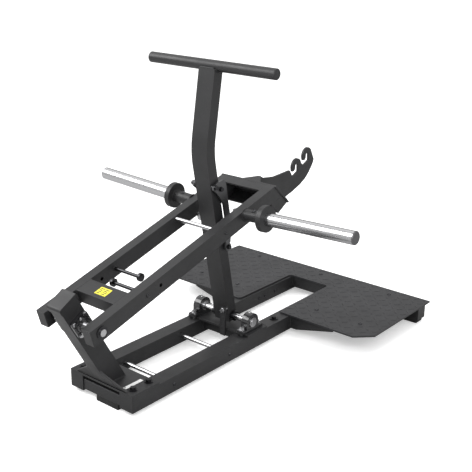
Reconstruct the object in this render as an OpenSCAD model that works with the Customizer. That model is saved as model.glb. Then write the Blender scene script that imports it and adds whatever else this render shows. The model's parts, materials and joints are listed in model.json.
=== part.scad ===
// Plate-loaded lever squat machine: base, lever with plate horns and hook, tilting T handle.
// X runs across the machine, Y from the pivot end to the platform, Z up. The origin is on the
// floor, under the middle of the machine. Each sub-part is drawn in the pose of rest.

/* [Base] */
// Overall width over the two base rails
base_w = 311; // [300:1:330]
// Width of one base rail
rail_w = 63; // [50:1:66]
// Height of one base rail
rail_h = 60; // [54:1:66]
// Length of a base rail
rail_len = 1320; // [1300:1:1500]
// Wall thickness of all the square tubes
tube_wall = 3; // [2:0.5:4]
// Height of the rubber feet under the rails
foot_h = 16; // [10:1:25]
// Length of the front base plate
base_plate_len = 132; // [125:1:150]
// Thickness of the base plate and of the bearing plate
base_plate_t = 8; // [6:1:10]

/* [Riser] */
// Width of the leaning riser tube
riser_w = 60; // [54:1:62]
// Depth of the riser tube, square to its length
riser_depth = 76; // [74:1:84]
// Forward lean of the riser from the vertical, in degrees
riser_lean = 29.6; // [20:0.1:34]
// Length of the riser along its front face
riser_len = 384; // [375:1:420]

/* [Platform] */
// Width of the foot platform
platform_w = 1050; // [960:1:1200]
// Distance from the rail fronts to the front edge of the platform
platform_front = 888; // [870:1:900]
// Thickness of the platform plate
platform_t = 7; // [5:1:10]
// Width of the slot that the hook drops into
slot_w = 205; // [190:1:220]
// Distance from the rail fronts to the closed end of the slot
slot_end = 1255; // [1250:1:1265]
// Corner cut of the platform's front outer corners
platform_chamfer = 63; // [20:1:90]

/* [Lever] */
// Height of the lever pivot above the bottom of the rails
pivot_h = 334; // [315:1:345]
// Slope of the lever arms at rest, in degrees
arm_angle = 16.2; // [15:0.1:17]
// Distance between the centre planes of the two arms
arm_spacing = 224; // [220:1:232]
// Width of an arm tube
arm_w = 40; // [34:1:44]
// Depth of an arm tube
arm_h = 60; // [54:1:62]
// Length of an arm from the pivot to the top of its rear end
arm_len = 946; // [930:1:980]
// Diameter of the lever pivot shaft
pivot_d = 25; // [20:1:28]
// Thickness of the hook plate
hook_t = 10; // [8:1:12]

/* [Plate horns] */
// Diameter of the chrome sleeves that take the weight plates
horn_d = 50; // [48:0.5:50.5]
// Overall width over the ends of both horns
horn_span = 1230; // [1000:1:1300]
// Upward tilt of each horn, in degrees
horn_tilt = 2.8; // [0:0.1:3]
// Diameter of the stop flange that the plates lean on
horn_flange_d = 100; // [80:1:110]

/* [Handle post] */
// Width of the post tube
post_w = 75; // [70:1:78]
// Depth of the post tube
post_depth = 45; // [40:1:50]
// Forward lean of the lower part of the post, in degrees
post_lean = 11.9; // [11:0.1:13]
// Bend between the lower and the upper part of the post, in degrees
post_bend = 20.2; // [0.5:0.1:25]
// Length of the T handle bar
handle_w = 587; // [450:1:700]
// Diameter of the T handle bar
handle_d = 40; // [30:1:42]
// Diameter of the post's shaft
shaft_d = 25; // [20:1:28]

/* [Hidden] */
$fn = 64;

EPS = 0.01;
CUT = 400;                     // size of the blocks that trim the leaning parts
RUN_GAP = 0.03;                // radial clearance of a shaft in its bearing
HOLE_GAP = 0.3;                // radial clearance of a bolt in its hole
weld_gap = 0.02;               // seam between two slanted faces that are welded together
rail_out = base_w / 2;
rail_in = rail_out - rail_w;
rail_x = rail_out - rail_w / 2;
cap_t = 4;                     // steel caps on tube ends
base_top = rail_h + base_plate_t;

// Riser
pivot_y = riser_depth / 2 / cos(riser_lean) - (pivot_h - base_top) * tan(riser_lean);
cap_lip = 3;
riser_cap_t = 6;
flange_side = 72;
flange_pitch = 52;
flange_t = 12;
flange_boss = 24;
insert_d = 42;
insert_out = 30;               // reach of a bearing insert from the riser's side

// Platform
rear_beam_w = 60;
platform_over = 23;            // reach of the platform behind the rear beam
platform_back = rail_len + rear_beam_w + platform_over;
platform_z = rail_h;
rear_beam_x = platform_w / 2 - 12;
wing_beam_y = platform_front + 118;
wing_beam_w = 50;
wing_beam_h = 30;
wing_bolt_x = [212, 423];

// Handle post, in its own frame: s along the post from the shaft, w towards the platform
shaft_y = 668;
pillow_h = 36.5;               // shaft height over the foot of a pillow block
shaft_z = base_top + pillow_h;
post_low = 701;                // shaft to the vertex of the bend
post_high = 310;               // vertex of the bend to the handle bar
post_r = 300;                  // centre-line radius of the bend
post_tangent = post_r * tan(post_bend / 2);
post_tail = 20;                // post below the shaft
pillow_w = 36;
pillow_bore = 40;
pillow_len = 122;
pillow_pitch = 94;
pillow_foot = 14;
bearing_plate_y = 620;
stop_bar_x = 20;
stop_bar_w = 25;
stop_bar_t = 8;
stop_z = 142;
stop_gap = 0.3;                // air between the stop bolt and the post

// Lever, in its own frame: u along the arms from the pivot, v square to them
arm_x = arm_spacing / 2;
arm_in = arm_x - arm_w / 2;
arm_out = arm_x + arm_w / 2;
arm_top = arm_h / 2;
arm_nose = 44;
nose_cap_t = 3;
rear_lean = 30;                // lean of the back plate against the arms
back_t = 8;
back_low = -74;                // lower edge of the back plate
channel_front = 902;
sheet_t = 6;
horn_u = 759;
horn_v = 4.1;
hub_end = 216;
hub_d = 46;
horn_flange_t = 20;
horn_cap_t = 4;
horn_wall = 4;
pin_u = 784;                   // rest pin under the catch
pin_d = 16;
pin_in = 55;
peg_d = 13;
peg_head_d = 30;
peg_head_t = 10;
washer_d = 44;

// Catch plates on the post
catch_in = 44;
catch_t = 8;
catch_out = catch_in + catch_t;
bolt_m10 = 10;
catch_holes = [[15, 553], [-13, 571], [15, 309], [8, 423]];

// Foremost point of the riser cap, whose front edge is an arc of radius cap_r
cap_r = 9;
function cap_front_y() =
    let (cy = -cap_lip + cap_r, cz = riser_len + riser_cap_t - cap_r)
    cy * cos(riser_lean) - cz * sin(riser_lean) - cap_r;
y_mid = (cap_front_y() + platform_back) / 2;

// Front face of the back plate and its rear face, at height v in the lever frame
function back_u(v) = arm_len + (arm_top - v) * tan(rear_lean);
function back_rear(v) = back_u(v) + back_t / cos(rear_lean);
function post_front_y(z) =
    shaft_y - (z - shaft_z) * tan(post_lean) - post_depth / 2 / cos(post_lean);

// ---- Frames and helpers -------------------------------------------------------------
module placed() { translate([0, -y_mid, foot_h]) children(); }
module on_lever() { placed() translate([0, pivot_y, pivot_h]) rotate([arm_angle, 0, 0]) children(); }
module on_riser() { placed() translate([0, 0, base_top]) rotate([riser_lean, 0, 0]) children(); }
module on_post() { placed() translate([0, shaft_y, shaft_z]) rotate([post_lean, 0, 0]) children(); }
module both_sides() { for (m = [0, 1]) mirror([m, 0, 0]) children(); }

// A plate or bar drawn in the YZ plane and drawn out along X
module slab(x0, x1) { translate([x0, 0, 0]) rotate([90, 0, 90]) linear_extrude(x1 - x0) children(); }
module rod_x(x0, x1, d, y, z) { translate([x0, y, z]) rotate([0, 90, 0]) cylinder(h = x1 - x0, d = d); }
module box(a, b) { translate(a) cube(b - a); }

// A rectangular tube between two corners, open along one axis (0 = X, 1 = Y)
module tube(a, b, along) {
    t = [for (i = [0 : 2]) i == along ? -1 : tube_wall];
    difference() {
        box(a, b);
        box(a + t, b - t);
    }
}

// Flange bolt: head and washer above z = 0, shank below
module bolt(d, shank, washer = 2) {
    cylinder(h = 0.25 * d, d = washer * d);
    cylinder(h = 0.9 * d, d = 1.7 * d, $fn = 6);
    translate([0, 0, -shank]) cylinder(h = shank + EPS, d = d);
}
module button_bolt(d, shank) {
    cylinder(h = 0.5 * d, d1 = 1.8 * d, d2 = 1.2 * d);
    translate([0, 0, -shank]) cylinder(h = shank + EPS, d = d);
}
module rounded_square(side, r) {
    h = side / 2 - r;
    square([side, side - 2 * r], center = true);
    square([side - 2 * r, side], center = true);
    for (x = [-h, h], y = [-h, h]) translate([x, y]) circle(r);
}

// ---- Base ---------------------------------------------------------------------------
tie_rod_y = [203, 512];
tie_rod_z = 30;
tie_rod_d = 16;
base_bolt_y = [30, 106];
rail_bolt_y = [946, 1063];
rail_top_bolt_y = 828;

module rail() {
    placed() difference() {
        tube([rail_in, 0, 0], [rail_out, rail_len, rail_h], 1);
        for (y = base_bolt_y) translate([rail_x, y, rail_h - 10]) cylinder(h = 20, d = 12 + 2 * HOLE_GAP);
        for (y = [-1, 1]) translate([rail_x, shaft_y + y * pillow_pitch / 2, rail_h - 10])
            cylinder(h = 20, d = 12 + 2 * HOLE_GAP);
        translate([rail_x, rail_top_bolt_y, rail_h - 10]) cylinder(h = 20, d = 12 + 2 * HOLE_GAP);
        for (y = concat(tie_rod_y, rail_bolt_y))
            rod_x(rail_out - 10, rail_out + 1, 8 + 2 * HOLE_GAP, y, tie_rod_z);
    }
}
module rail_left() { color([0.13, 0.13, 0.14]) mirror([1, 0, 0]) rail(); }
module rail_right() { color([0.13, 0.13, 0.14]) rail(); }

module frame_end_caps() {
    color([0.11, 0.11, 0.12]) placed() both_sides() {
        box([rail_in, -cap_t, 0], [rail_out, 0, rail_h]);
        box([rear_beam_x, rail_len, 0], [rear_beam_x + cap_t, rail_len + rear_beam_w, rail_h]);
    }
}
module front_crossmember() {
    color([0.13, 0.13, 0.14]) placed() tube([-rail_in, 0, 6], [rail_in, 40, 46], 0);
}
module front_foot() {
    color([0.08, 0.08, 0.08]) placed() box([-28, 0, -foot_h], [80, 40, 6]);
}
module base_plate() {
    color([0.15, 0.15, 0.16]) placed() difference() {
        box([-rail_out, -cap_t, rail_h], [rail_out, base_plate_len - cap_t, base_top]);
        both_sides() for (y = base_bolt_y)
            translate([rail_x, y, rail_h - 1]) cylinder(h = 20, d = 12 + 2 * HOLE_GAP);
    }
}
module base_plate_bolts() {
    color([0.2, 0.2, 0.21]) placed() both_sides() for (y = base_bolt_y)
        translate([rail_x, y, base_top]) bolt(12, base_plate_t + 14, 2.6);
}
module plate_label() {
    color([0.9, 0.9, 0.88]) placed() box([rail_x - 34, 16, base_top], [rail_x - 19, 100, base_top + 0.6]);
}

// ---- Riser and its flange bearings -----------------------------------------------------
pivot_s = (pivot_h - base_top) * cos(riser_lean) - pivot_y * sin(riser_lean);

module below_plate() { placed() box([-CUT, -CUT, base_top - CUT], [CUT, CUT, base_top]); }
module flange_holes(d) {
    for (y = [-1, 1], z = [-1, 1])
        rod_x(-CUT / 2, CUT / 2, d, riser_depth / 2 + y * flange_pitch / 2, pivot_s + z * flange_pitch / 2);
}
module riser_post() {
    color([0.13, 0.13, 0.14]) difference() {
        on_riser() difference() {
            box([-riser_w / 2, 0, -100], [riser_w / 2, riser_depth, riser_len]);
            box([-riser_w / 2 + tube_wall, tube_wall, -101],
                [riser_w / 2 - tube_wall, riser_depth - tube_wall, riser_len + 1]);
            rod_x(-riser_w, riser_w, insert_d + 1, riser_depth / 2, pivot_s);
            flange_holes(10 + 2 * HOLE_GAP);
        }
        below_plate();
    }
}
module riser_cap() {
    color([0.15, 0.15, 0.16]) on_riser() slab(-riser_w / 2 - cap_lip, riser_w / 2 + cap_lip) difference() {
        union() {
            translate([-cap_lip + cap_r, riser_len - 18])
                square([riser_depth + 2 * cap_lip - cap_r, 18 + riser_cap_t]);
            translate([-cap_lip, riser_len - 18]) square([cap_r, 18 + riser_cap_t - cap_r]);
            translate([-cap_lip + cap_r, riser_len + riser_cap_t - cap_r]) circle(cap_r);
        }
        translate([0, riser_len - 20]) square([riser_depth, 20]);
    }
}
module riser_gussets() {
    gusset_out = 96;
    gusset_rise = 71;
    color([0.14, 0.14, 0.15]) difference() {
        both_sides() on_riser() translate([0, sheet_t, 0]) rotate([90, 0, 0]) linear_extrude(sheet_t)
            polygon([[riser_w / 2, -20], [riser_w / 2 + gusset_out, -20],
                [riser_w / 2 + gusset_out, 0], [riser_w / 2, gusset_rise]]);
        below_plate();
    }
}
module flange_bearing() {
    color([0.03, 0.03, 0.03]) on_riser() translate([riser_w / 2, riser_depth / 2, pivot_s])
        rotate([90, 0, 90]) difference() {
            union() {
                linear_extrude(flange_t) rounded_square(flange_side, 12);
                cylinder(h = flange_boss, d1 = insert_d + 20, d2 = insert_d + 10);
            }
            translate([0, 0, -1]) cylinder(h = flange_boss + 2, d = insert_d);
            for (x = [-1, 1], y = [-1, 1]) translate([x * flange_pitch / 2, y * flange_pitch / 2, -1])
                cylinder(h = flange_t + 20, d = 10 + 2 * HOLE_GAP);
        }
}
module flange_bearing_left() { mirror([1, 0, 0]) flange_bearing(); }
module flange_bearing_right() { flange_bearing(); }
module flange_bearing_bolts() {
    color([0.75, 0.75, 0.77]) both_sides() on_riser()
        translate([riser_w / 2 + flange_t, riser_depth / 2, pivot_s]) rotate([90, 0, 90])
            for (x = [-1, 1], y = [-1, 1]) translate([x * flange_pitch / 2, y * flange_pitch / 2, 0])
                bolt(8, flange_t + 8);
}
module ring_x(x0, x1, od, id, y, z) {
    difference() {
        rod_x(x0, x1, od, y, z);
        rod_x(x0 - 1, x1 + 1, id, y, z);
    }
}
module bearing_inserts() {
    color([0.8, 0.8, 0.82]) placed() both_sides() {
        ring_x(riser_w / 2, riser_w / 2 + insert_out, insert_d, pivot_d + 2 * RUN_GAP, pivot_y, pivot_h);
        ring_x(rail_x - 19, rail_x + 19, pillow_bore, shaft_d + 2 * RUN_GAP, shaft_y, shaft_z);
    }
}

// ---- Tie rods, bearing plate and pillow blocks ------------------------------------------
module tie_rod(y) { color([0.8, 0.8, 0.82]) placed() rod_x(-rail_in, rail_in, tie_rod_d, y, tie_rod_z); }
module tie_rod_front() { tie_rod(tie_rod_y[0]); }
module tie_rod_middle() { tie_rod(tie_rod_y[1]); }

module bearing_cross_plate() {
    color([0.14, 0.14, 0.15]) placed() difference() {
        box([-rail_out, bearing_plate_y, rail_h], [rail_out, 742, base_top]);
        both_sides() for (y = [-1, 1]) translate([rail_x, shaft_y + y * pillow_pitch / 2, rail_h - 1])
            cylinder(h = 20, d = 12 + 2 * HOLE_GAP);
    }
}
module base_cross_tube() {
    color([0.13, 0.13, 0.14]) placed() tube([-rail_in, 640, 20], [rail_in, 700, rail_h], 0);
}
module pillow_block() {
    color([0.05, 0.05, 0.05]) placed() difference() {
        union() {
            box([rail_x - pillow_w / 2, shaft_y - pillow_len / 2, base_top],
                [rail_x + pillow_w / 2, shaft_y + pillow_len / 2, base_top + pillow_foot]);
            box([rail_x - pillow_w / 2 + 2, shaft_y - 35, base_top], [rail_x + pillow_w / 2 - 2,
                shaft_y + 35, shaft_z]);
            rod_x(rail_x - pillow_w / 2 + 2, rail_x + pillow_w / 2 - 2, 70, shaft_y, shaft_z);
        }
        rod_x(rail_x - pillow_w, rail_x + pillow_w, pillow_bore, shaft_y, shaft_z);
        for (y = [-1, 1]) translate([rail_x, shaft_y + y * pillow_pitch / 2, base_top - 1])
            cylinder(h = pillow_foot + 2, d = 12 + 2 * HOLE_GAP);
    }
}
module pillow_block_left() { mirror([1, 0, 0]) pillow_block(); }
module pillow_block_right() { pillow_block(); }
module pillow_block_bolts() {
    color([0.75, 0.75, 0.77]) placed() both_sides() for (y = [-1, 1])
        translate([rail_x, shaft_y + y * pillow_pitch / 2, base_top + pillow_foot])
            bolt(12, pillow_foot + base_plate_t + 12);
}
stop_x = stop_bar_x + stop_bar_w / 2;
module post_stop_bar() {
    color([0.1, 0.1, 0.11]) placed() difference() {
        box([stop_bar_x, bearing_plate_y - stop_bar_t, 35],
            [stop_bar_x + stop_bar_w, bearing_plate_y, stop_z + 12]);
        translate([stop_x, bearing_plate_y - 20, stop_z]) rotate([-90, 0, 0])
            cylinder(h = 40, d = bolt_m10 + 2 * HOLE_GAP);
    }
}
module post_stop_bolt() {
    reach = post_front_y(stop_z + bolt_m10 / 2) - stop_gap - bearing_plate_y + stop_bar_t;
    color([0.8, 0.8, 0.82]) placed() translate([stop_x, bearing_plate_y - stop_bar_t, stop_z])
        rotate([90, 0, 0]) bolt(bolt_m10, reach);
}

// ---- Platform ---------------------------------------------------------------------------
// The waste outside a rounded corner at the origin, whose sides run along +X and +Y
module corner(r) { difference() { translate([-1, -1]) square(r + 1); translate([r, r]) circle(r); } }
module platform_outline() {
    half = platform_w / 2;
    slot = slot_w / 2;
    r = 15;
    difference() {
        polygon([[-half, platform_back], [half, platform_back],
            [half, platform_front + platform_chamfer], [half - platform_chamfer, platform_front],
            [-half + platform_chamfer, platform_front], [-half, platform_front + platform_chamfer]]);
        difference() {
            translate([-slot, platform_front - 1]) square([slot_w, slot_end - platform_front + 1]);
            for (side = [0, 1]) mirror([side, 0]) translate([slot, slot_end]) rotate(180) corner(r);
        }
        for (side = [0, 1]) mirror([side, 0]) translate([slot, platform_front]) corner(r);
    }
}
rear_bolt_x = 356;
module platform_holes() {
    for (x = [-1, 1]) {
        for (b = wing_bolt_x) translate([x * b, wing_beam_y]) children();
        translate([x * rear_bolt_x, rail_len + rear_beam_w / 2]) children();
    }
    translate([0, rail_len + rear_beam_w / 2]) children();
}
module platform_plate() {
    color([0.2, 0.2, 0.21]) placed() translate([0, 0, platform_z]) linear_extrude(platform_t)
        difference() {
            platform_outline();
            platform_holes() circle(d = 10 + 2 * HOLE_GAP);
        }
}
module platform_bolts() {
    color([0.1, 0.1, 0.1]) placed() translate([0, 0, platform_z + platform_t])
        platform_holes() button_bolt(10, platform_t + 12);
}
module rear_beam() {
    color([0.13, 0.13, 0.14]) placed() difference() {
        tube([-rear_beam_x, rail_len, 0], [rear_beam_x, rail_len + rear_beam_w, rail_h], 0);
        platform_holes() translate([0, 0, rail_h - 10]) cylinder(h = 20, d = 10 + 2 * HOLE_GAP);
    }
}
module rear_feet() {
    color([0.07, 0.07, 0.07]) placed() both_sides()
        box([rear_beam_x - 70, rail_len + 5, -foot_h], [rear_beam_x - 5, rail_len + rear_beam_w - 5, 0]);
}
module wing_beams() {
    reach = platform_w / 2 - 60;
    color([0.13, 0.13, 0.14]) placed() both_sides() difference() {
        tube([rail_out, wing_beam_y - wing_beam_w / 2, rail_h - wing_beam_h],
            [reach, wing_beam_y + wing_beam_w / 2, rail_h], 0);
        for (b = wing_bolt_x) translate([b, wing_beam_y, rail_h - 10])
            cylinder(h = 20, d = 10 + 2 * HOLE_GAP);
    }
}
module wing_brackets() {
    reach = 207;
    color([0.11, 0.11, 0.12]) placed() both_sides() for (y = [platform_front + 12, platform_front + 260])
        translate([rail_out, y + sheet_t, 0]) rotate([90, 0, 0]) linear_extrude(sheet_t)
            polygon([[0, 4], [30, 4], [reach, rail_h - 12], [reach, rail_h], [0, rail_h]]);
}
module slot_crossmember() {
    color([0.13, 0.13, 0.14]) placed()
        tube([-rail_in, slot_end + 3, 10], [rail_in, slot_end + 43, rail_h], 0);
}
module rail_bolts() {
    color([0.3, 0.3, 0.31]) placed() both_sides() {
        for (y = tie_rod_y) translate([rail_out, y, tie_rod_z]) rotate([0, 90, 0]) button_bolt(8, 12);
        translate([rail_x, rail_top_bolt_y, rail_h]) bolt(12, 14, 3);
    }
}

// ---- Lever --------------------------------------------------------------------------------
module lever_arm(bolt_u, open_u) {
    color([0.13, 0.13, 0.14]) on_lever() difference() {
        slab(arm_in, arm_out) polygon([[nose_cap_t - arm_nose, -arm_top], [nose_cap_t - arm_nose, arm_top],
            [back_u(arm_top), arm_top], [back_u(-arm_top), -arm_top]]);
        slab(arm_in + tube_wall, arm_out - tube_wall) polygon([
            [-arm_nose - 1, -arm_top + tube_wall], [-arm_nose - 1, arm_top - tube_wall],
            [arm_len + 200, arm_top - tube_wall], [arm_len + 200, -arm_top + tube_wall]]);
        rod_x(arm_in - 1, arm_out + 1, pivot_d + 2 * HOLE_GAP, 0, 0);
        for (u = [bolt_u, rod_bolt_u, pin_bolt_u]) rod_x(arm_out - 10, arm_out + 1, 8 + 2 * HOLE_GAP, u, 0);
        rod_x(arm_in - 1, arm_out + 1, peg_d + 1, open_u, 0);
    }
}
module lever_arm_left() { mirror([1, 0, 0]) lever_arm(peg_u[0], peg_u[1]); }
module lever_arm_right() { lever_arm(peg_u[1], peg_u[0]); }
module arm_nose_caps() {
    color([0.15, 0.15, 0.16]) on_lever() both_sides()
        box([arm_in, -arm_nose, -arm_top], [arm_out, nose_cap_t - arm_nose, arm_top]);
}
peg_u = [284, 218];            // left and right band peg. Each arm has an open hole by the other's
peg_head_x = [30, 28];
rod_bolt_u = 639;
pin_bolt_u = 811;
module arm_bolts() {
    color([0.3, 0.3, 0.31]) on_lever() for (side = [0, 1]) mirror([1 - side, 0, 0])
        for (u = [peg_u[side], rod_bolt_u, pin_bolt_u])
            translate([arm_out, u, 0]) rotate([0, 90, 0]) button_bolt(8, 9);
}
cross_u = [102, 172];
module lever_cross_tube() {
    color([0.15, 0.15, 0.16]) on_lever()
        tube([-arm_in, cross_u[0], arm_top - 50], [arm_in, cross_u[1], arm_top], 0);
}
module caution_label() {
    color([0.95, 0.85, 0.1]) on_lever() box([-18, 118, arm_top], [34, 156, arm_top + 0.6]);
}
module band_peg(u, head_x) {
    rod_x(-arm_in, head_x, peg_d, u, 3);
    rod_x(head_x, head_x + peg_head_t, peg_head_d, u, 3);
}
module band_pegs() {
    color([0.16, 0.16, 0.17]) on_lever() {
        band_peg(peg_u[0], peg_head_x[0]);
        mirror([1, 0, 0]) band_peg(peg_u[1], peg_head_x[1]);
    }
}
module lever_rod() { color([0.8, 0.8, 0.82]) on_lever() rod_x(-arm_in, arm_in, 16, 618, 18); }
module rest_pins() {
    color([0.75, 0.75, 0.77]) on_lever() both_sides() rod_x(pin_in, arm_in, pin_d, pin_u, 0);
}
module pivot_shaft() {
    color([0.85, 0.85, 0.87]) on_lever() rod_x(-arm_out - 8, arm_out + 8, pivot_d, 0, 0);
}
module pivot_washers() {
    id = pivot_d + 2 * HOLE_GAP;
    color([0.5, 0.5, 0.52]) on_lever() both_sides() {
        ring_x(arm_in - 10, arm_in, washer_d, id, 0, 0);
        ring_x(arm_out, arm_out + 3, washer_d, id, 0, 0);
    }
}

// Open channel between the arm ends. Its mouth faces the pivot.
module rear_channel() {
    lip = back_low + 2;
    front = arm_len - 2;
    drop = 16;
    web = 4;
    color([0.13, 0.13, 0.14]) on_lever() {
        slab(-arm_in, arm_in) polygon([[channel_front, arm_top - sheet_t], [channel_front, arm_top],
            [back_u(arm_top), arm_top], [back_u(lip), lip], [front, lip - drop],
            [front, lip - drop + sheet_t], [back_u(lip) - web, lip + sheet_t],
            [back_u(arm_top - sheet_t) - web, arm_top - sheet_t]]);
        both_sides() slab(arm_in, arm_out) polygon([[back_u(-arm_top), -arm_top], [back_u(lip), lip],
            [front, lip - drop], [front, lip - drop + sheet_t], [back_u(lip) - web, lip + sheet_t],
            [back_u(-arm_top) - web, -arm_top]]);
        both_sides() slab(arm_out - sheet_t, arm_out) polygon([[channel_front + 8, -arm_top],
            [back_u(-arm_top), -arm_top], [back_u(lip), lip], [front, lip - drop]]);
    }
}
module rear_back_plate() {
    over = 4;
    color([0.12, 0.12, 0.13]) on_lever() slab(-arm_out - over, arm_out + over) polygon([
        [back_u(arm_top) + weld_gap, arm_top], [back_rear(arm_top), arm_top],
        [back_rear(back_low), back_low], [back_u(back_low) + weld_gap, back_low]]);
}

// Hook plate: two hooks whose mouths face the pivot. The belt's ring hangs in a pocket.
hook_1 = [1255, -64];
hook_pitch = [81, 12];
hook_r = 33;
pocket_r = 10;
gusset_v = 22;                 // top face of the hook gussets at the back plate
gusset_reach = 62;
gusset_side = 42;
gusset_slope = 10;
gusset_tip = [back_rear(gusset_v) + gusset_reach * cos(gusset_slope),
    gusset_v - gusset_reach * sin(gusset_slope)];
hook_throat = [[-38, -28], [-31, -32], [4, -26], [pocket_r, 0], [hook_r, 0]];
module hook_ring() {
    difference() {
        circle(hook_r);
        circle(pocket_r);
        translate([-2 * hook_r, -2 * hook_r]) square(2 * hook_r);
        translate([-1, -2 * hook_r - 2]) square(2 * hook_r);
    }
}
module hook_slab() { slab(-hook_t / 2, hook_t / 2) children(); }
module hook_plate() {
    color([0.14, 0.14, 0.15]) on_lever() {
        hook_slab() polygon(concat([[back_rear(gusset_v), gusset_v], gusset_tip,
            gusset_tip + [16, -18], [1104, -36], hook_1 + [-48, 4]],
            [for (i = [0, 1], p = hook_throat) hook_1 + i * hook_pitch + p],
            [[1377, -92], [1368, -104], [1348, -120], [1326, -134], [1298, -146], [1262, -154],
            [1206, -158], [1150, -157], [back_rear(-70), -70]]));
        for (i = [0, 1]) {
            hook_slab() translate(hook_1 + i * hook_pitch) hook_ring();
            hook_slab() translate(hook_1 + i * hook_pitch) polygon([[-hook_r, 0], [-hook_r, -10],
                [-23, -13], [-13, -8], [-pocket_r, 0], [-pocket_r - 2, 3], [-hook_r + 2, 3]]);
        }
    }
}
module hook_gussets() {
    color([0.14, 0.14, 0.15]) on_lever() both_sides() difference() {
        translate([0, back_rear(gusset_v), gusset_v]) rotate([-gusset_slope, 0, 0])
            translate([0, 0, -sheet_t]) linear_extrude(sheet_t) polygon([[hook_t / 2, -20],
                [hook_t / 2 + gusset_side, -20], [hook_t / 2 + gusset_side, 6],
                [hook_t / 2, gusset_reach]]);
        slab(0, 100) polygon([[0, 100], [back_rear(100) + weld_gap, 100],
            [back_rear(-100) + weld_gap, -100], [0, -100]]);
    }
}

// ---- Plate horns ------------------------------------------------------------------------
horn_end = horn_span / 2 / cos(horn_tilt) - horn_d / 2 * tan(horn_tilt);
module on_horn() { on_lever() translate([0, horn_u, horn_v]) rotate([0, 90 - horn_tilt, 0]) children(); }
module horn_hubs() {
    color([0.14, 0.14, 0.15]) both_sides() difference() {
        on_horn() translate([0, 0, arm_in]) cylinder(h = hub_end - arm_in, d = hub_d);
        on_lever() box([0, 0, -CUT], [arm_out, arm_len + CUT, CUT]);
    }
}
module horn_flanges() {
    color([0.14, 0.14, 0.15]) both_sides() on_horn()
        translate([0, 0, hub_end]) cylinder(h = horn_flange_t, d = horn_flange_d);
}
module horn_sleeve() {
    start = hub_end + horn_flange_t;
    color([0.85, 0.85, 0.87]) on_horn() difference() {
        translate([0, 0, start]) cylinder(h = horn_end - horn_cap_t - start, d = horn_d);
        translate([0, 0, start - 1]) cylinder(h = horn_end, d = horn_d - 2 * horn_wall);
    }
}
module horn_sleeve_left() { mirror([1, 0, 0]) horn_sleeve(); }
module horn_sleeve_right() { horn_sleeve(); }
module horn_end_caps() {
    color([0.8, 0.8, 0.82]) both_sides() on_horn() translate([0, 0, horn_end - horn_cap_t]) {
        cylinder(h = horn_cap_t / 2, d = horn_d);
        translate([0, 0, horn_cap_t / 2]) cylinder(h = horn_cap_t / 2, d1 = horn_d, d2 = horn_d - 3);
    }
}

// ---- Handle post ---------------------------------------------------------------------------
// The post's flat walls end this far below the middle of the bar that its sides are coped to
saddle = 12;
bend_steps = 12;
function post_edge(r, reach) =
    let (run = [0, post_low - post_tangent])
    let (end = [post_r - r * cos(post_bend), r * sin(post_bend)])
    concat([for (i = [0 : bend_steps]) let (a = i * post_bend / bend_steps)
        run + [post_r - r * cos(a), r * sin(a)]],
        [run + end + reach * [sin(post_bend), cos(post_bend)]]);
module post_solid(inset, over) {
    w = post_w / 2 - inset;
    d = post_depth / 2 - inset;
    reach = post_high - post_tangent - saddle + over;
    near = post_edge(post_r - d, reach);
    slab(-w, w) polygon(concat([[d, -post_tail - over], [-d, -post_tail - over]],
        post_edge(post_r + d, reach), [for (i = [len(near) - 1 : -1 : 0]) near[i]]));
}
module on_handle() {
    on_post() translate([0, post_r, post_low - post_tangent]) rotate([-post_bend, 0, 0])
        translate([0, -post_r, post_high - post_tangent]) children();
}
module catch_hole_rods(d, x0, x1) { for (h = catch_holes) rod_x(x0, x1, d, h[0], h[1]); }
module handle_post() {
    color([0.13, 0.13, 0.14]) difference() {
        on_post() difference() {
            post_solid(0, 0);
            post_solid(tube_wall, 1);
            rod_x(-CUT / 2, CUT / 2, shaft_d + 2 * HOLE_GAP, 0, 0);
            catch_hole_rods(bolt_m10 + 2 * HOLE_GAP, -CUT / 2, CUT / 2);
        }
        on_handle() rod_x(-CUT / 2, CUT / 2, handle_d, 0, 0);
    }
}
handle_cap_t = 4;
module handle_bar() {
    half = handle_w / 2 - handle_cap_t;
    color([0.12, 0.12, 0.13]) on_handle() ring_x(-half, half, handle_d, handle_d - 2 * tube_wall, 0, 0);
}
module handle_bar_caps() {
    color([0.06, 0.06, 0.06]) on_handle() both_sides()
        translate([handle_w / 2 - handle_cap_t, 0, 0]) rotate([0, 90, 0]) {
            cylinder(h = handle_cap_t / 2, d = handle_d);
            translate([0, 0, handle_cap_t / 2])
                cylinder(h = handle_cap_t / 2, d1 = handle_d, d2 = handle_d - 4);
        }
}
module post_shaft() {
    color([0.85, 0.85, 0.87]) on_post() rod_x(-rail_x - 21, rail_x + 21, shaft_d, 0, 0);
}
module shaft_collars() {
    color([0.2, 0.2, 0.21]) on_post() both_sides()
        ring_x(post_w / 2, post_w / 2 + 16, shaft_d + 14, shaft_d + 2 * HOLE_GAP, 0, 0);
}
module catch_outline() {
    polygon([[-21, 578], [4, 584], [34, 583], [44, 575], [48, 560], [48, 440], [46, 380], [30, 322],
        [-1, 315], [10, 350], [18, 390], [20, 440], [19, 488], [8, 513], [-8, 545], [-24, 564]]);
    translate([15, 309]) circle(16);
}
module catch_plates() {
    color([0.35, 0.35, 0.36]) on_post() both_sides() difference() {
        slab(catch_in, catch_out) catch_outline();
        catch_hole_rods(bolt_m10 + 2 * HOLE_GAP, catch_in - 1, catch_out + 1);
    }
}
module catch_lugs() {
    color([0.6, 0.6, 0.62]) on_post() both_sides() difference() {
        slab(catch_out, catch_out + 18) polygon([[-6, 408], [54, 408], [54, 436], [-6, 438]]);
        rod_x(catch_out - 1, catch_out + 30, bolt_m10 + 2 * HOLE_GAP, catch_holes[3][0], catch_holes[3][1]);
    }
}
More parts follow.
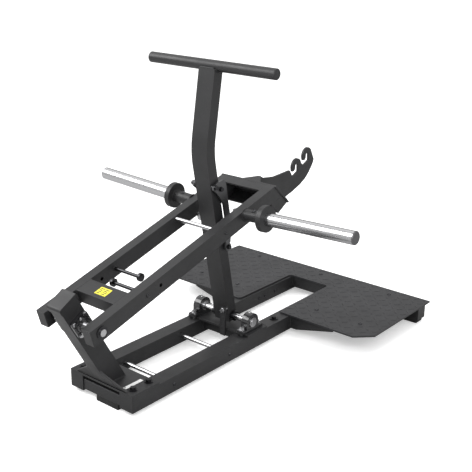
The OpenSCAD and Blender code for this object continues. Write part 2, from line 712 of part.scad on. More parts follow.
module catch_bolts() {
    color([0.8, 0.8, 0.82]) on_post() {
        for (i = [0 : 3]) {
            head = catch_out + (i == 3 ? 18 : 0);
            both_sides() translate([head, catch_holes[i][0], catch_holes[i][1]]) rotate([0, 90, 0])
                bolt(bolt_m10, head);
        }
        both_sides() for (i = [0 : 2])
            ring_x(post_w / 2, catch_in, 20, bolt_m10 + 2 * HOLE_GAP, catch_holes[i][0], catch_holes[i][1]);
    }
}

rail_left();
rail_right();
frame_end_caps();
front_crossmember();
front_foot();
base_plate();
base_plate_bolts();
plate_label();
riser_post();
riser_cap();
riser_gussets();
flange_bearing_left();
flange_bearing_right();
flange_bearing_bolts();
bearing_inserts();
tie_rod_front();
tie_rod_middle();
bearing_cross_plate();
base_cross_tube();
pillow_block_left();
pillow_block_right();
pillow_block_bolts();
post_stop_bar();
post_stop_bolt();
platform_plate();
platform_bolts();
rear_beam();
rear_feet();
wing_beams();
wing_brackets();
slot_crossmember();
rail_bolts();
lever_arm_left();
lever_arm_right();
arm_nose_caps();
arm_bolts();
lever_cross_tube();
caution_label();
band_pegs();
lever_rod();
rest_pins();
pivot_shaft();
pivot_washers();
rear_channel();
rear_back_plate();
hook_plate();
hook_gussets();
horn_hubs();
horn_flanges();
horn_sleeve_left();
horn_sleeve_right();
horn_end_caps();
handle_post();
handle_bar();
handle_bar_caps();
post_shaft();
shaft_collars();
catch_plates();
catch_lugs();
catch_bolts();
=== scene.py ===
"""Looks of the lever squat machine: finishes, welds, tread, small hardware, light and camera."""
import json
import math

import bmesh
import bpy
from mathutils import Matrix, Vector


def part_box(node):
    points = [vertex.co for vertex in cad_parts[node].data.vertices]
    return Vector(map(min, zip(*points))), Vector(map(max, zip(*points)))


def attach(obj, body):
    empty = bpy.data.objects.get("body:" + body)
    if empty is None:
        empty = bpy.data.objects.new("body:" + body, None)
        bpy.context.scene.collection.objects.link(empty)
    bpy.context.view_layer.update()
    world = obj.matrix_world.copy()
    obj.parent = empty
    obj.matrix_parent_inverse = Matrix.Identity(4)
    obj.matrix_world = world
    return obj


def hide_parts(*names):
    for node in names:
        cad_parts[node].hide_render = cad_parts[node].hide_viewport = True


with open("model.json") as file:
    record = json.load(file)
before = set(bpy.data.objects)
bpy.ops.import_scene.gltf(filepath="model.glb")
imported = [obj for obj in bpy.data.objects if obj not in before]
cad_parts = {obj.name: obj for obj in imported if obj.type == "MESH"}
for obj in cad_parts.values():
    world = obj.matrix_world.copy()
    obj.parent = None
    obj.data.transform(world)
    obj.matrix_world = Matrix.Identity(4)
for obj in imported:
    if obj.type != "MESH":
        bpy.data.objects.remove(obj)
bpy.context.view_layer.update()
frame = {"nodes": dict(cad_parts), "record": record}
NODES = frame["nodes"]
PIVOT = Vector(frame["record"]["behaviour"]["joints"][0]["pos_m"])
SHAFT = Vector(frame["record"]["behaviour"]["joints"][1]["pos_m"])


# ---- Node material helpers ------------------------------------------------------------
class Shader:
    """A Principled material with short ways to add textures in object space."""

    def __init__(self, name, **sockets):
        self.mat = bpy.data.materials.new(name)
        self.mat.use_nodes = True
        self.nodes = self.mat.node_tree.nodes
        self.links = self.mat.node_tree.links
        self.bsdf = self.nodes["Principled BSDF"]
        self.coords = self.nodes.new("ShaderNodeTexCoord").outputs["Object"]
        self.height = None
        for key, value in sockets.items():
            self.bsdf.inputs[key.replace("_", " ")].default_value = value

    def stretched(self, scale):
        node = self.nodes.new("ShaderNodeMapping")
        node.inputs["Scale"].default_value = scale
        self.links.new(self.coords, node.inputs["Vector"])
        return node.outputs["Vector"]

    def noise(self, scale, detail=3.0, rough=0.55, stretch=None):
        node = self.nodes.new("ShaderNodeTexNoise")
        node.inputs["Scale"].default_value = scale
        node.inputs["Detail"].default_value = detail
        node.inputs["Roughness"].default_value = rough
        self.links.new(self.stretched(stretch) if stretch else self.coords, node.inputs["Vector"])
        return node.outputs["Fac"]

    def ramp(self, value, stops):
        node = self.nodes.new("ShaderNodeValToRGB")
        ramp = node.color_ramp
        while len(ramp.elements) < len(stops):
            ramp.elements.new(0.5)
        for element, (place, colour) in zip(ramp.elements, stops):
            element.position = place
            level = colour if isinstance(colour, tuple) else (colour,) * 3
            element.color = (*level, 1.0)
        self.links.new(value, node.inputs["Fac"])
        return node.outputs["Color"]

    def mix(self, factor, low, high):
        node = self.nodes.new("ShaderNodeMix")
        node.data_type = "RGBA"
        self.links.new(factor, node.inputs["Factor"])
        for socket, value in (("A", low), ("B", high)):
            target = [i for i in node.inputs if i.name == socket and i.type == "RGBA"][0]
            if isinstance(value, tuple):
                target.default_value = (*value, 1.0)
            else:
                self.links.new(value, target)
        return [o for o in node.outputs if o.type == "RGBA"][0]

    def set(self, socket, value):
        self.links.new(value, self.bsdf.inputs[socket])

    def bump(self, height, strength, distance):
        node = self.nodes.new("ShaderNodeBump")
        node.inputs["Strength"].default_value = strength
        node.inputs["Distance"].default_value = distance
        self.links.new(height, node.inputs["Height"])
        if self.height:
            self.links.new(self.height, node.inputs["Normal"])
        self.height = node.outputs["Normal"]
        self.set("Normal", self.height)


def powder_coat(name, tone, roughness=0.42, orange_peel=0.18):
    s = Shader(name, Roughness=roughness, IOR=1.42, Coat_Weight=0.03, Coat_Roughness=0.35)
    cloud = s.ramp(s.noise(5.0, 5.0), [(0.3, 0.0), (0.7, 1.0)])
    dark = tuple(0.82 * c for c in tone)
    light = tuple(1.22 * c for c in tone)
    base = s.mix(cloud, dark, light)
    dust = s.ramp(s.noise(60.0, 6.0, 0.7), [(0.62, 0.0), (0.78, 1.0)])
    s.set("Base Color", s.mix(dust, base, tuple(1.9 * c for c in tone)))
    s.set("Roughness", s.ramp(s.noise(14.0, 4.0), [(0.3, roughness - 0.07), (0.7, roughness + 0.08)]))
    s.bump(s.noise(900.0, 2.0), orange_peel, 0.0004)
    return s.mat


def bright_metal(name, tone, roughness, scratch=(1.0, 60.0, 60.0), depth=0.12, spread=0.06):
    s = Shader(name, Metallic=1.0, Roughness=roughness)
    streak = s.noise(30.0, 4.0, 0.6, stretch=scratch)
    s.set("Base Color", s.mix(s.ramp(streak, [(0.35, 0.0), (0.65, 1.0)]),
                              tuple(0.93 * c for c in tone), tone))
    s.set("Roughness", s.ramp(streak, [(0.3, max(0.02, roughness - spread)), (0.7, roughness + spread)]))
    s.bump(streak, depth, 0.0001)
    return s.mat


def enamel(name, tone):
    s = Shader(name, Roughness=0.16, Coat_Weight=0.6, Coat_Roughness=0.08)
    s.set("Base Color", s.mix(s.ramp(s.noise(25.0, 4.0), [(0.35, 0.0), (0.7, 1.0)]), tone,
                              tuple(1.8 * c for c in tone)))
    s.set("Roughness", s.ramp(s.noise(45.0, 4.0), [(0.3, 0.12), (0.7, 0.3)]))
    s.bump(s.noise(220.0, 3.0), 0.35, 0.0006)
    return s.mat


def soft_black(name, tone, roughness, grain=500.0, depth=0.4):
    s = Shader(name, Roughness=roughness, IOR=1.46)
    s.set("Base Color", s.mix(s.ramp(s.noise(18.0, 5.0), [(0.3, 0.0), (0.7, 1.0)]), tone,
                              tuple(1.5 * c for c in tone)))
    s.set("Roughness", s.ramp(s.noise(40.0, 4.0), [(0.3, roughness - 0.08), (0.7, roughness + 0.08)]))
    s.bump(s.noise(grain, 3.0), depth, 0.0005)
    return s.mat


def printed(name, tone, fade):
    s = Shader(name, Roughness=0.32, Coat_Weight=0.3, Coat_Roughness=0.15)
    s.set("Base Color", s.mix(s.ramp(s.noise(70.0, 4.0), [(0.35, 0.0), (0.75, 1.0)]), tone, fade))
    s.bump(s.noise(350.0, 2.0), 0.1, 0.0002)
    return s.mat


FINISHES = {
    "black_paint": powder_coat("powder_coat", (0.023, 0.023, 0.024)),
    "tread_plate": powder_coat("tread_coat", (0.026, 0.026, 0.028), 0.45, 0.3),
    "chrome": bright_metal("chrome", (0.55, 0.55, 0.56), 0.22, (1.0, 90.0, 90.0), 0.03, 0.03),
    "zinc_steel": bright_metal("zinc", (0.50, 0.50, 0.51), 0.24, (40.0, 40.0, 40.0), 0.2),
    "dark_steel": bright_metal("black_oxide", (0.055, 0.055, 0.058), 0.30, (40.0, 40.0, 40.0), 0.25),
    "grey_steel": bright_metal("phosphate", (0.16, 0.16, 0.165), 0.38, (40.0, 40.0, 40.0), 0.25),
    "bearing_housing": enamel("housing_enamel", (0.010, 0.010, 0.011)),
    "rubber": soft_black("foot_rubber", (0.014, 0.014, 0.014), 0.72),
    "black_plastic": soft_black("cap_plastic", (0.016, 0.016, 0.017), 0.46, 700.0, 0.25),
    "white_label": printed("label_white", (0.93, 0.93, 0.92), (0.88, 0.88, 0.87)),
    "yellow_label": printed("label_yellow", (0.82, 0.74, 0.04), (0.74, 0.66, 0.05)),
}


def finish_cad_nodes():
    for row in frame["record"]["subparts"]:
        node = NODES[row["node"]]
        for place in node.material_slots:
            place.material = FINISHES[row["material_slot"]]


def soften(node, width, segments=2, limit=40.0):
    """Rounds a CAD node's edges for the render, as rolled tube and cut plate have them."""
    weld = node.modifiers.new("weld", "WELD")
    weld.merge_threshold = 1e-5
    flat = node.modifiers.new("flat", "DECIMATE")
    flat.decimate_type = "DISSOLVE"
    flat.angle_limit = math.radians(0.5)
    bevel = node.modifiers.new("round", "BEVEL")
    bevel.width = width
    bevel.segments = segments
    bevel.limit_method = "ANGLE"
    bevel.angle_limit = math.radians(limit)
    bevel.harden_normals = False
    bevel.use_clamp_overlap = True
    even = node.modifiers.new("even", "WEIGHTED_NORMAL")
    even.mode = "FACE_AREA"
    even.weight = 100
    even.keep_sharp = True


finish_cad_nodes()

# ---- Frames of the machine's parts, and the sizes that its details follow ---------------------
# FLAT starts at the front of the rails, level with their underside. RISER, LEVER, POST, HANDLE and
# HORN lean with their parts. Points and sizes marked mm are turned into metres by MM.
MM = 0.001
LEVER_TILT = math.radians(16.2)
RISER_LEAN = math.radians(29.6)
POST_LEAN = math.radians(11.9)
POST_BEND = math.radians(20.2)
HORN_TILT = math.radians(2.8)
BASE_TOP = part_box("base_plate")[1][2]
BASE_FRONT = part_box("rail_right")[0][1]
RAIL_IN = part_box("base_cross_tube")[1][0]
PLATE_TOP = 68                        # mm, top of the base plate in FLAT
RISER_DEPTH, RISER_HALF_WIDTH = 76, 30    # mm
RAIL_INNER, RAIL_OUTER = 92, 156      # mm, weld lines on the sides of a rail
SHAFT_Y, SHAFT_Z = 668, 104.5         # mm, the post's shaft in FLAT
TIE_ROD_Y, TIE_ROD_Z = (203, 512), 30     # mm, the tie rods in FLAT
ARM_LEN, ARM_TOP = 946, 30            # mm, the arms' rear end and top in LEVER
ARM_INNER, ARM_OUTER = 91, 132        # mm, inner weld line and outer side of an arm
BACK_LEAN, BACK_THICK = math.radians(30), 8    # the back plate, thickness in mm
PEG_U = (218, 284)                    # mm, the band pegs of the right and the left arm
ROD_BOLT_U, PIN_BOLT_U = 639, 811     # mm, the other bolts of an arm
PLATFORM_BOLTS = [(x, 1006) for x in (-423, -212, 212, 423)]    # mm, in FLAT
PLATFORM_BOLTS += [(x, 1350) for x in (-356, 0, 356)]
M8, M9, M10 = 0.008, 0.009, 0.010     # nominal sizes of the socket bolts


def leaning(origin, angle):
    """The frame at origin, turned by angle about X."""
    return Matrix.Translation(origin) @ Matrix.Rotation(angle, 4, "X")


LEVER = leaning(PIVOT, LEVER_TILT)
RISER = leaning((0, BASE_FRONT, BASE_TOP), RISER_LEAN)
POST = leaning(SHAFT, POST_LEAN)
# The post's bend: its radius, and the lengths below and above its corner
BEND_RADIUS, BEND_LOW, BEND_HIGH = 0.300, 0.701, 0.310
BEND_TANGENT = BEND_RADIUS * math.tan(POST_BEND / 2)
HANDLE = (POST @ leaning((0, BEND_RADIUS, BEND_LOW - BEND_TANGENT), -POST_BEND)
          @ Matrix.Translation((0, -BEND_RADIUS, BEND_HIGH - BEND_TANGENT)))
HORN_ROOT = (0, 0.759, 0.0041)
HORN = (LEVER @ Matrix.Translation(HORN_ROOT)
        @ Matrix.Rotation(math.pi / 2 - HORN_TILT, 4, "Y"))
FLAT = Matrix.Translation((0, BASE_FRONT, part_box("rail_right")[0][2]))
MIRROR = Matrix.Scale(-1, 4, (1, 0, 0))


def piece(name, bm, body, slot, smooth=True):
    """Makes a mesh into a piece that rides on a body, with the finish of a material slot."""
    bmesh.ops.recalc_face_normals(bm, faces=bm.faces)
    mesh = bpy.data.meshes.new(name)
    bm.to_mesh(mesh)
    bm.free()
    obj = bpy.data.objects.new(name, mesh)
    bpy.context.collection.objects.link(obj)
    mesh.materials.append(FINISHES[slot])
    for face in mesh.polygons:
        face.use_smooth = smooth
    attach(obj, body)
    return obj


# ---- Weld beads --------------------------------------------------------------------------
def ring_path(place, radius, x, steps=40):
    """A circle round the X axis of the frame, at x."""
    return [place @ Vector((x, radius * math.cos(t), radius * math.sin(t)))
            for t in (2 * math.pi * i / steps for i in range(steps))]


def disc_path(place, radius, z, steps=48):
    """A circle round the Z axis of the frame, at z."""
    return [place @ Vector((radius * math.cos(t), radius * math.sin(t), z))
            for t in (2 * math.pi * i / steps for i in range(steps))]


def resample(points, step, closed):
    """Even points along a path, so that the ripples of a bead are even."""
    ends = list(zip(points, points[1:] + points[:1])) if closed else list(zip(points, points[1:]))
    total = sum((b - a).length for a, b in ends)
    count = max(4, round(total / step))
    out, gone, seg = [], 0.0, 0
    for i in range(count if closed else count + 1):
        want = total * i / count
        while seg < len(ends) - 1 and gone + (ends[seg][1] - ends[seg][0]).length < want:
            gone += (ends[seg][1] - ends[seg][0]).length
            seg += 1
        a, b = ends[seg]
        out.append(a + (b - a) * min(1.0, (want - gone) / max(1e-9, (b - a).length)))
    return out


def bead(bm, points, radius=0.0030, closed=False, sides=8):
    """A weld bead along a path: overlapping ripples with drawn-in ends."""
    step = radius * 0.45
    path = resample([Vector(p) for p in points], step, closed)
    last = len(path) - 1
    rings = []
    for i, p in enumerate(path):
        before = path[i - 1] if (i or closed) else p
        after = path[(i + 1) % len(path)] if (i < last or closed) else p
        along = (after - before).normalized()
        side = along.orthogonal().normalized()
        other = along.cross(side)
        swell = 0.86 + 0.16 * abs(math.sin(math.pi * i / 4))
        fade = 1.0 if closed else min(1.0, 0.35 + 0.3 * min(i, last - i))
        r = radius * swell * fade
        rings.append([bm.verts.new(p + r * (math.cos(t) * side + math.sin(t) * other))
                      for t in (2 * math.pi * k / sides for k in range(sides))])
    pairs = list(zip(rings, rings[1:])) + ([(rings[-1], rings[0])] if closed else [])
    for one, two in pairs:
        turn = min(range(sides), key=lambda k: (one[0].co - two[k].co).length)
        for k in range(sides):
            bm.faces.new((one[k], one[(k + 1) % sides],
                          two[(k + 1 + turn) % sides], two[(k + turn) % sides]))
    if not closed:
        bm.faces.new(rings[0])
        bm.faces.new(rings[-1])


def lines(place, *runs):
    """Paths in metres from runs of millimetre points in a frame."""
    return [[place @ (Vector(p) * MM) for p in run] for run in runs]


def both(runs):
    """The runs and their mirror images in X."""
    return runs + [[(-x, y, z) for x, y, z in run] for run in runs]


def welds(name, body, open_paths, rings=(), radius=0.0030):
    """One piece with a bead along each path and round each ring."""
    bm = bmesh.new()
    for path in open_paths:
        bead(bm, path, radius)
    for path in rings:
        bead(bm, path, radius, closed=True)
    return piece(name, bm, body, "black_paint")


def upright(x, y, low, high):
    """A run straight up, from low to high."""
    return [(x, y, low), (x, y, high)]


def across(low, high, y, z):
    """A run along X, from low to high."""
    return [(low, y, z), (high, y, z)]


def frame_welds():
    half, riser_back = RISER_HALF_WIDTH, RISER_DEPTH / math.cos(RISER_LEAN)
    riser_foot = [(half, 1, PLATE_TOP), (half, riser_back, PLATE_TOP),
                  (-half, riser_back, PLATE_TOP), (-half, 1, PLATE_TOP)]
    gusset_foot = [across(34, 120, 8.5, PLATE_TOP)]
    crossmember = [upright(RAIL_INNER, 41, 8, 46), [(RAIL_INNER, 6, 46), (RAIL_INNER, 40, 46)]]
    cross_tube = [upright(RAIL_INNER, y, 22, 58) for y in (639, 701)]
    slot_crossmember = [upright(RAIL_INNER, 1257, 12, 58)]
    wing_beams = [upright(RAIL_OUTER, y, 32, 58) for y in (980, 1032)]
    wing_brackets = [upright(RAIL_OUTER, y, 6, 56) for y in (899, 1147)]
    rear_beam = [upright(x, 1319, 4, 56) for x in (96, 154)]
    bearing_plate = [across(108, 150, y, 67) for y in (742.5, 619.5)]
    runs = lines(FLAT, riser_foot, *both(gusset_foot + crossmember + cross_tube + slot_crossmember
                                         + wing_beams + wing_brackets + rear_beam + bearing_plate))
    rod_radius = 0.0088
    rods = [ring_path(FLAT @ Matrix.Translation((0, y * MM, TIE_ROD_Z * MM)), rod_radius, side * RAIL_IN)
            for y in TIE_ROD_Y for side in (-1, 1)]
    welds("frame_welds", "base_frame", runs, rods, 0.0026)
    gusset_sides = lines(RISER, *both([upright(31, 7, 8, 66)]))
    welds("gusset_welds", "base_frame", gusset_sides, radius=0.0024)


def back_rear(v):
    """u of the back plate's rear face at the height v, in mm in LEVER."""
    return ARM_LEN + (ARM_TOP - v) * math.tan(BACK_LEAN) + BACK_THICK / math.cos(BACK_LEAN)


def lever_welds():
    cross_tube = [upright(ARM_INNER, u, -18, 29) for u in (101, 173)]
    cross_tube += [[(ARM_INNER, 104, -21), (ARM_INNER, 170, -21)]]
    back_plate = [[(132.5, back_rear(v) - 10, v) for v in (28, -28)]]
    hook_plate = [[(5.5, back_rear(v) + 1, v) for v in (4, -66)]]
    channel = [[(90, 903, 23), (90, 960, 23)]]
    runs = lines(LEVER, *both(cross_tube + back_plate + hook_plate + channel))
    arm_side = 0.0915
    hub_radius, hub_ends = 0.0235, (0.1335, 0.2155)
    rod_radius, rod_place = 0.0088, LEVER @ Matrix.Translation((0, 0.618, 0.018))
    peg_radius, peg_v = 0.0072, 0.003
    rings = []
    for side in (1, -1):
        flip = Matrix.Identity(4) if side == 1 else MIRROR
        rings += [disc_path(flip @ HORN, hub_radius, end) for end in hub_ends]
        rings.append(ring_path(rod_place, rod_radius, side * arm_side))
    for side, u in ((-1, PEG_U[1]), (1, PEG_U[0])):
        peg_place = LEVER @ Matrix.Translation((0, u * MM, peg_v))
        rings.append(ring_path(peg_place, peg_radius, side * arm_side))
    welds("lever_welds", "lever", runs, rings, 0.0027)


def post_welds():
    """Beads where the post meets the handle bar: straight before and behind, curved at the sides."""
    post_side, bar_radius = 37.8, 20.8
    runs = lines(HANDLE, *[across(-34, 34, w, -9.5) for w in (-20.5, 20.5)])
    arc = [(post_side, bar_radius * math.sin(t), -bar_radius * math.cos(t))
           for t in (math.radians(a) for a in range(-62, 63, 4))]
    runs += lines(HANDLE, *both([arc]))
    welds("post_welds", "handle_post", runs, radius=0.0032)


# ---- Tread -----------------------------------------------------------------------------------
def tread_lugs():
    """Raised bars on the platform, each turned a right angle to its neighbours."""
    low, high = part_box("platform_plate")
    pitch, length, width, height = 0.0345, 0.0280, 0.0062, 0.0013
    margin, slot_half, slot_end = 0.006, 0.1025, high[1] - 0.148
    chamfer, head_radius = 0.063, 0.011
    bolts = [(x * MM, BASE_FRONT + y * MM) for x, y in PLATFORM_BOLTS]
    reach = 0.36 * length + margin
    # length, width and height of a lug's outlines, from its foot to its ridge
    layers = ((1.0, 1.0, 0.0), (0.93, 0.62, 0.75), (0.74, 0.28, 1.0))
    sunk = 0.0002
    outline = 10
    bm = bmesh.new()
    columns = int((high[0] - low[0]) / pitch)
    rows = int((high[1] - low[1]) / pitch)
    for i in range(columns):
        for j in range(rows):
            x = low[0] + (i + 0.5) * (high[0] - low[0]) / columns
            y = low[1] + (j + 0.5) * (high[1] - low[1]) / rows
            if abs(x) < slot_half + reach and y < slot_end + reach:
                continue
            if abs(x) - y > high[0] - low[1] - chamfer - 1.6 * reach:
                continue
            if any(math.hypot(x - bx, y - by) < head_radius + reach for bx, by in bolts):
                continue
            turn = math.radians(45 if (i + j) % 2 else -45)
            rings = []
            for long_scale, wide_scale, lift in layers:
                ring = []
                for k in range(outline):
                    t = 2 * math.pi * k / outline
                    a = 0.5 * length * long_scale * math.cos(t)
                    b = 0.5 * width * wide_scale * math.sin(t)
                    ring.append(bm.verts.new((x + a * math.cos(turn) - b * math.sin(turn),
                                              y + a * math.sin(turn) + b * math.cos(turn),
                                              high[2] - sunk + lift * height)))
                rings.append(ring)
            for one, two in zip(rings, rings[1:]):
                for k in range(outline):
                    bm.faces.new((one[k], one[(k + 1) % outline], two[(k + 1) % outline], two[k]))
            bm.faces.new(rings[-1])
            bm.faces.new(rings[0][::-1])
    return piece("tread_lugs", bm, "base_frame", "tread_plate")


# ---- Small hardware ----------------------------------------------------------------------------
def lathe(bm, place, profile, sides=24):
    """Turns (radius, height) points in metres round the frame's Z axis. Closes both ends."""
    rings = [[bm.verts.new(place @ Vector((r * math.cos(t), r * math.sin(t), z)))
              for t in (2 * math.pi * k / sides for k in range(sides))] for r, z in profile]
    for one, two in zip(rings, rings[1:]):
        for k in range(sides):
            bm.faces.new((one[k], one[(k + 1) % sides], two[(k + 1) % sides], two[k]))
    bm.faces.new(rings[0][::-1])
    bm.faces.new(rings[-1])


def socket_head(bm, place, d, sides=36):
    """A domed button head of nominal size d with a hexagon socket, standing on z = 0."""
    r, h, deep = 0.9 * d, 0.52 * d, 0.3 * d
    across = 0.33 * d
    arc = [(r * math.cos(t), 0.1 * h + 0.9 * h * math.sin(t))
           for t in (math.radians(a) for a in (0, 18, 36, 52))]
    outer = [(r, -0.0004)] + arc
    hexagon = [across / math.cos(math.pi / 6 - (2 * math.pi * k / sides) % (math.pi / 3))
               for k in range(sides)]

    def ring(radius, z):
        return [bm.verts.new(place @ Vector((rr * math.cos(t), rr * math.sin(t), z)))
                for rr, t in ((radius(k), 2 * math.pi * k / sides) for k in range(sides))]

    rings = [ring(lambda k, rr=rr: rr, z) for rr, z in outer]
    rim = outer[-1][1]
    rings += [ring(lambda k: hexagon[k], rim), ring(lambda k: hexagon[k], rim - deep)]
    for one, two in zip(rings, rings[1:]):
        for k in range(sides):
            bm.faces.new((one[k], one[(k + 1) % sides], two[(k + 1) % sides], two[k]))
    bm.faces.new(rings[0][::-1])
    bm.faces.new(rings[-1])


def facing(place, point, direction):
    """The frame at a millimetre point of place, with Z along direction."""
    turn = Vector((0, 0, 1)).rotation_difference(Vector(direction)).to_matrix().to_4x4()
    return place @ Matrix.Translation(Vector(point) * MM) @ turn


def button_heads():
    """Socket heads on the platform, the arms, the horns' hubs and the rails beside the slot."""
    platform_top = (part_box("platform_plate")[1][2] - FLAT.translation.z) / MM
    bm = bmesh.new()
    for x, y in PLATFORM_BOLTS:
        socket_head(bm, facing(FLAT, (x, y, platform_top), (0, 0, 1)), M10)
    heads = piece("platform_bolt_heads", bm, "base_frame", "dark_steel")
    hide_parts("platform_bolts")
    bm = bmesh.new()
    for side in (1, -1):
        for u in (PEG_U[0] if side == 1 else PEG_U[1], ROD_BOLT_U, PIN_BOLT_U):
            socket_head(bm, facing(LEVER, (side * ARM_OUTER, u, 0), (side, 0, 0)), M8)
    heads = piece("arm_bolt_heads", bm, "lever", "dark_steel")
    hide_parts("arm_bolts")
    hub_top = (-22.6, 0, 178)    # HORN's X points down
    bm = bmesh.new()
    for flip in (Matrix.Identity(4), MIRROR):
        socket_head(bm, facing(flip @ HORN, hub_top, (-1, 0, 0)), M9)
    piece("hub_bolt_heads", bm, "lever", "dark_steel")
    rail_side, rail_middle = 92.4, 30
    bm = bmesh.new()
    for side in (1, -1):
        for y, d in ((1128, M10), (1052, M8), (1012, M8)):
            socket_head(bm, facing(FLAT, (side * rail_side, y, rail_middle), (-side, 0, 0)), d)
    piece("slot_rail_bolt_heads", bm, "base_frame", "dark_steel")


def grease_nipple(bm, place):
    """A nipple of nominal size d: a collar that is sunk a little, a neck and a ball."""
    d, sunk = 0.006, 0.002
    collar = [(0.75 * d, -sunk), (0.75 * d, 0.35 * d)]
    neck = [(0.42 * d, 0.4 * d), (0.36 * d, 0.9 * d)]
    ball = [(0.5 * d, 1.15 * d), (0.5 * d, 1.3 * d), (0.28 * d, 1.65 * d)]
    lathe(bm, place, collar + neck + ball, 20)


def set_screw(bm, place):
    socket_head(bm, place, 0.0045, 24)


def round_ring(place, x, centre, radius, turn):
    """The frame on a ring round X, turned by turn degrees, with Z pointing outwards."""
    y, z = math.cos(math.radians(turn)), math.sin(math.radians(turn))
    return facing(place, (x, centre[0] + radius * y, centre[1] + radius * z), (0, y, z))


def bearing_details():
    """Grease nipples on the bearings, and set screws in their inserts and in the shaft's collars."""
    middle = PIVOT - RISER.translation
    along = middle.y * -math.sin(RISER_LEAN) + middle.z * math.cos(RISER_LEAN)
    pivot = (RISER_DEPTH / 2, along / MM)
    shaft = (SHAFT_Y, SHAFT_Z)
    bm = bmesh.new()
    for side in (1, -1):
        grease_nipple(bm, facing(RISER, (side * 49, pivot[0], pivot[1] + 29), (side * 0.35, 0, 0.94)))
        grease_nipple(bm, facing(FLAT, (side * 124, shaft[0], shaft[1] + 34.6), (0, 0, 1)))
    piece("grease_nipples", bm, "base_frame", "zinc_steel")
    bm = bmesh.new()
    for side in (1, -1):
        for turn in (100, 220):
            set_screw(bm, round_ring(RISER, side * 56.5, pivot, 20.8, turn))
            set_screw(bm, round_ring(FLAT, side * 140, shaft, 19.8, turn))
    piece("bearing_set_screws", bm, "base_frame", "dark_steel")
    bm = bmesh.new()
    for side in (1, -1):
        for turn in (60, 200):
            set_screw(bm, round_ring(POST, side * 45.5, (0, 0), 19.3, turn))
    piece("collar_set_screws", bm, "handle_post", "dark_steel")


def label_bars():
    """Plain bars in place of the labels' print."""
    def slab(bm, place, low, high):
        verts = [bm.verts.new(place @ (Vector((x, y, z)) * MM))
                 for z in (low[2], high[2]) for y in (low[1], high[1]) for x in (low[0], high[0])]
        for face in ((0, 2, 3, 1), (4, 5, 7, 6), (0, 1, 5, 4), (2, 6, 7, 3), (0, 4, 6, 2), (1, 3, 7, 5)):
            bm.faces.new([verts[k] for k in face])

    label_low, label_high = 0.55, 0.75
    bar_start, bar_ends = -12, (2, 4, 0, 3)
    second_start, second_shift = 10, 24
    first_row, row_step, bar_height = 123, 8, 3
    low, high = ARM_TOP + label_low, ARM_TOP + label_high
    bm = bmesh.new()
    for row, end in enumerate(bar_ends):
        front = first_row + row_step * row
        back = front + bar_height
        slab(bm, LEVER, (bar_start, front, low), (end, back, high))
        slab(bm, LEVER, (second_start, front, low), (end + second_shift, back, high))
    piece("caution_label_bars", bm, "lever", "black_plastic", smooth=False)
    bm = bmesh.new()
    slab(bm, FLAT, (93, 19, PLATE_TOP + label_low), (98, 24, PLATE_TOP + label_high))
    piece("plate_label_mark", bm, "base_frame", "black_plastic", smooth=False)


frame_welds()
lever_welds()
post_welds()
tread_lugs()
button_heads()
bearing_details()
label_bars()

# CAD nodes whose edges are rounded as on rolled tube, and as on cut plate
TUBES = ("rail_left", "rail_right", "riser_post", "lever_arm_left", "lever_arm_right", "handle_post",
         "lever_cross_tube", "front_crossmember", "rear_beam", "wing_beams", "slot_crossmember",
         "base_cross_tube")
PLATES = ("base_plate", "riser_cap", "riser_gussets", "bearing_cross_plate", "post_stop_bar",
          "wing_brackets", "rear_channel", "rear_back_plate", "hook_plate", "hook_gussets",
          "catch_plates", "catch_lugs", "frame_end_caps", "arm_nose_caps", "front_foot", "rear_feet")
TUBE_EDGE, PLATE_EDGE = 0.0030, 0.0009
for name in TUBES:
    soften(NODES[name], TUBE_EDGE, 3)
for name in PLATES:
    soften(NODES[name], PLATE_EDGE)


# ---- Floor, light and camera ------------------------------------------------------------
def floor():
    """A pale floor that the camera sees brighter than reflections and bounced light do."""
    size = 40.0
    bounced, seen = (0.5, 0.5, 0.5), (0.93, 0.93, 0.93)
    glow = 0.42
    mesh = bpy.data.meshes.new("floor")
    corners = [(-size, -size, 0), (size, -size, 0), (size, size, 0), (-size, size, 0)]
    mesh.from_pydata(corners, [], [(0, 1, 2, 3)])
    obj = bpy.data.objects.new("floor", mesh)
    bpy.context.collection.objects.link(obj)
    s = Shader("floor_white", Roughness=0.9)
    ray = s.nodes.new("ShaderNodeLightPath").outputs["Is Camera Ray"]
    s.set("Base Color", s.mix(ray, bounced, seen))
    s.bsdf.inputs["Emission Color"].default_value = (1.0, 1.0, 1.0, 1.0)
    strength = s.nodes.new("ShaderNodeMath")
    strength.operation = "MULTIPLY"
    strength.inputs[1].default_value = glow
    s.links.new(ray, strength.inputs[0])
    s.set("Emission Strength", strength.outputs[0])
    s.bsdf.inputs["Specular IOR Level"].default_value = 0.1
    mesh.materials.append(s.mat)


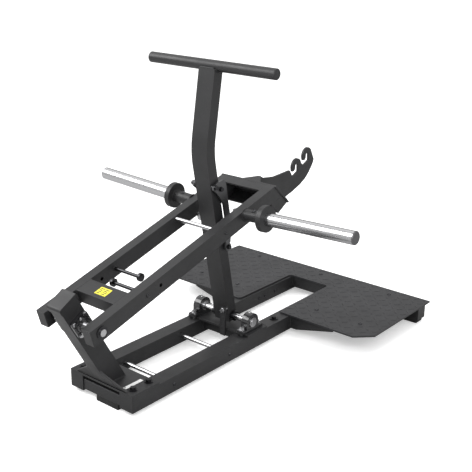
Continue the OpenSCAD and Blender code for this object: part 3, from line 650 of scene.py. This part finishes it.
def softbox(name, place, target, size, power):
    light = bpy.data.lights.new(name, "AREA")
    light.shape = "RECTANGLE"
    light.size, light.size_y = size
    light.energy = power
    obj = bpy.data.objects.new(name, light)
    obj.location = place
    obj.rotation_euler = (Vector(target) - Vector(place)).to_track_quat("-Z", "Y").to_euler()
    bpy.context.collection.objects.link(obj)


def sky(stops):
    """A studio whose brightness changes with the height of the view, as (height, brightness)."""
    world = bpy.data.worlds.new("studio")
    world.use_nodes = True
    nodes, links = world.node_tree.nodes, world.node_tree.links
    split = nodes.new("ShaderNodeSeparateXYZ")
    ramp = nodes.new("ShaderNodeValToRGB")
    links.new(nodes.new("ShaderNodeTexCoord").outputs["Generated"], split.inputs["Vector"])
    links.new(split.outputs["Z"], ramp.inputs["Fac"])
    links.new(ramp.outputs["Color"], nodes["Background"].inputs["Color"])
    bands = ramp.color_ramp.elements
    while len(bands) < len(stops):
        bands.new(0.5)
    for band, (place, level) in zip(bands, stops):
        band.position = place
        band.color = (level, level, level, 1)
    bpy.context.scene.world = world


def camera():
    place, focal_length = (2.0801, -2.4536, 1.5831), 67.95
    yaw, pitch, roll = (math.radians(a) for a in (38.93, 19.22, 1.07))
    right = Vector((math.cos(yaw), math.sin(yaw), 0))
    back = Vector((math.sin(yaw) * math.cos(pitch), -math.cos(yaw) * math.cos(pitch), math.sin(pitch)))
    up = back.cross(right)
    turned = (math.cos(roll) * right + math.sin(roll) * up, math.cos(roll) * up - math.sin(roll) * right)
    lens = bpy.data.cameras.new("camera")
    lens.sensor_width = 36.0
    lens.lens = focal_length
    obj = bpy.data.objects.new("camera", lens)
    stand = Matrix((turned[0], turned[1], back)).transposed().to_4x4()
    stand.translation = Vector(place)
    obj.matrix_world = stand
    bpy.context.collection.objects.link(obj)
    bpy.context.scene.camera = obj


floor()
# A dark band above the horizon gives the chrome its shape
sky([(0.10, 1.0), (0.20, 0.40), (0.45, 0.40), (0.60, 1.3), (0.85, 1.0)])
softbox("key", (-2.8, -2.6, 3.6), (0, 0, 0.3), (3.0, 3.0), 165)
softbox("top", (0.5, 1.5, 4.5), (0, 0, 0.3), (2.5, 2.5), 40)
softbox("fill", (2.2, -1.6, 2.0), (0, 0.2, 0.9), (1.4, 1.4), 26)
camera()
bpy.context.scene.view_settings.view_transform = "Standard"
